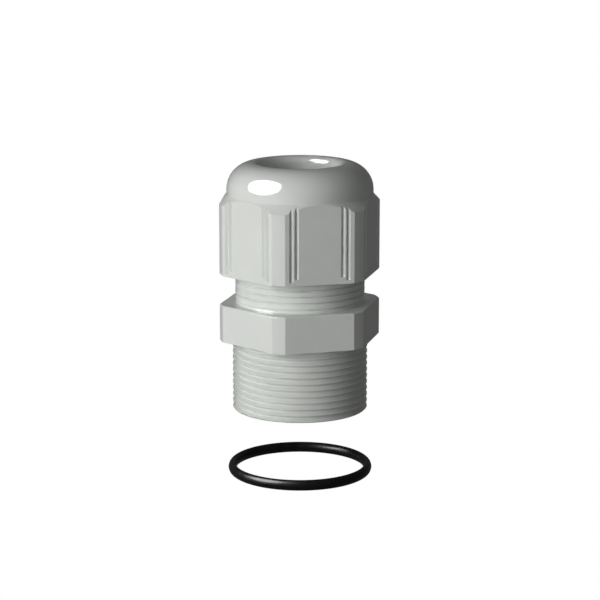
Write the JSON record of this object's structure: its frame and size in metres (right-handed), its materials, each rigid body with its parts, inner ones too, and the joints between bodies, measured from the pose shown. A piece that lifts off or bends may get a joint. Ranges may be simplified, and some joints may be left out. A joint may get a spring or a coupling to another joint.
{
  "type": "cable gland",
  "caption": "Straight moulded cable gland with a hexagonal dome cap, a fingered clamping cage, a sealing bush, a threaded entry below a hexagonal collar and a loose entry seal ring.",
  "frame": {"origin": "on the axis at the collar's underside, which seats on the enclosure wall", "axes": "+Z along the axis out of the enclosure, towards the cap; a flat of each hexagon faces -Y"},
  "size_m": [0.0384, 0.0346, 0.075],
  "materials": {
    "grey_polyamide": "moulded, satin light grey",
    "cage_polyamide": "moulded, satin grey",
    "slip_acetal": "moulded, natural white",
    "black_rubber": "moulded, matt black"
  },
  "bodies": {
    "gland_body": {"gland_body": "grey_polyamide", "cage_ring": "cage_polyamide", "sealing_bush": "black_rubber"},
    "slip_ring": {"slip_ring": "slip_acetal"},
    "cap_nut": {"cap_nut": "grey_polyamide"},
    "seal_ring": {"seal_ring": "black_rubber"},
    "finger_01": {"finger_01": "cage_polyamide"},
    "finger_02": {"finger_02": "cage_polyamide"},
    "finger_03": {"finger_03": "cage_polyamide"},
    "finger_04": {"finger_04": "cage_polyamide"},
    "finger_05": {"finger_05": "cage_polyamide"},
    "finger_06": {"finger_06": "cage_polyamide"},
    "finger_07": {"finger_07": "cage_polyamide"},
    "finger_08": {"finger_08": "cage_polyamide"},
    "finger_09": {"finger_09": "cage_polyamide"},
    "finger_10": {"finger_10": "cage_polyamide"},
    "finger_11": {"finger_11": "cage_polyamide"},
    "finger_12": {"finger_12": "cage_polyamide"}
  },
  "joints": [
    {"name": "cap_advance", "type": "slide", "parent": "gland_body", "child": "slip_ring", "axis": [0, 0, 1], "range_m": [-0.006, 0], "deforming": ["sealing_bush"]},
    {"name": "cap_turn", "type": "hinge", "parent": "slip_ring", "child": "cap_nut", "pos_m": [0, 0, 0.0158], "axis": [0, 0, 1], "range_deg": [-1440, 0]},
    {"name": "seal_ring_slide", "type": "slide", "parent": "gland_body", "child": "seal_ring", "axis": [0, 0, 1], "range_m": [0, 0.03073], "deforming": ["seal_ring"]},
    {"name": "finger_01_bend", "type": "hinge", "parent": "gland_body", "child": "finger_01", "pos_m": [0.013, 0, 0.02225], "axis": [0, 1, 0], "range_deg": [-19.75, 0]},
    {"name": "finger_02_bend", "type": "hinge", "parent": "gland_body", "child": "finger_02", "pos_m": [0.01126, 0.0065, 0.02225], "axis": [-0.5, 0.866, 0], "range_deg": [-19.75, 0]},
    {"name": "finger_03_bend", "type": "hinge", "parent": "gland_body", "child": "finger_03", "pos_m": [0.0065, 0.01126, 0.02225], "axis": [-0.866, 0.5, 0], "range_deg": [-19.75, 0]},
    {"name": "finger_04_bend", "type": "hinge", "parent": "gland_body", "child": "finger_04", "pos_m": [0, 0.013, 0.02225], "axis": [-1, 0, 0], "range_deg": [-19.75, 0]},
    {"name": "finger_05_bend", "type": "hinge", "parent": "gland_body", "child": "finger_05", "pos_m": [-0.0065, 0.01126, 0.02225], "axis": [-0.866, -0.5, 0], "range_deg": [-19.75, 0]},
    {"name": "finger_06_bend", "type": "hinge", "parent": "gland_body", "child": "finger_06", "pos_m": [-0.01126, 0.0065, 0.02225], "axis": [-0.5, -0.866, 0], "range_deg": [-19.75, 0]},
    {"name": "finger_07_bend", "type": "hinge", "parent": "gland_body", "child": "finger_07", "pos_m": [-0.013, 0, 0.02225], "axis": [0, -1, 0], "range_deg": [-19.75, 0]},
    {"name": "finger_08_bend", "type": "hinge", "parent": "gland_body", "child": "finger_08", "pos_m": [-0.01126, -0.0065, 0.02225], "axis": [0.5, -0.866, 0], "range_deg": [-19.75, 0]},
    {"name": "finger_09_bend", "type": "hinge", "parent": "gland_body", "child": "finger_09", "pos_m": [-0.0065, -0.01126, 0.02225], "axis": [0.866, -0.5, 0], "range_deg": [-19.75, 0]},
    {"name": "finger_10_bend", "type": "hinge", "parent": "gland_body", "child": "finger_10", "pos_m": [0, -0.013, 0.02225], "axis": [1, 0, 0], "range_deg": [-19.75, 0]},
    {"name": "finger_11_bend", "type": "hinge", "parent": "gland_body", "child": "finger_11", "pos_m": [0.0065, -0.01126, 0.02225], "axis": [0.866, 0.5, 0], "range_deg": [-19.75, 0]},
    {"name": "finger_12_bend", "type": "hinge", "parent": "gland_body", "child": "finger_12", "pos_m": [0.01126, -0.0065, 0.02225], "axis": [0.5, 0.866, 0], "range_deg": [-19.75, 0]}
  ],
  "couplings": [
    {"joint": "cap_turn", "follows": "cap_advance", "rad_per_m": 4188.8},
    {"joint": "finger_01_bend", "follows": "cap_advance", "rad_per_m": 57.444},
    {"joint": "finger_02_bend", "follows": "cap_advance", "rad_per_m": 57.444},
    {"joint": "finger_03_bend", "follows": "cap_advance", "rad_per_m": 57.444},
    {"joint": "finger_04_bend", "follows": "cap_advance", "rad_per_m": 57.444},
    {"joint": "finger_05_bend", "follows": "cap_advance", "rad_per_m": 57.444},
    {"joint": "finger_06_bend", "follows": "cap_advance", "rad_per_m": 57.444},
    {"joint": "finger_07_bend", "follows": "cap_advance", "rad_per_m": 57.444},
    {"joint": "finger_08_bend", "follows": "cap_advance", "rad_per_m": 57.444},
    {"joint": "finger_09_bend", "follows": "cap_advance", "rad_per_m": 57.444},
    {"joint": "finger_10_bend", "follows": "cap_advance", "rad_per_m": 57.444},
    {"joint": "finger_11_bend", "follows": "cap_advance", "rad_per_m": 57.444},
    {"joint": "finger_12_bend", "follows": "cap_advance", "rad_per_m": 57.444}
  ]
}
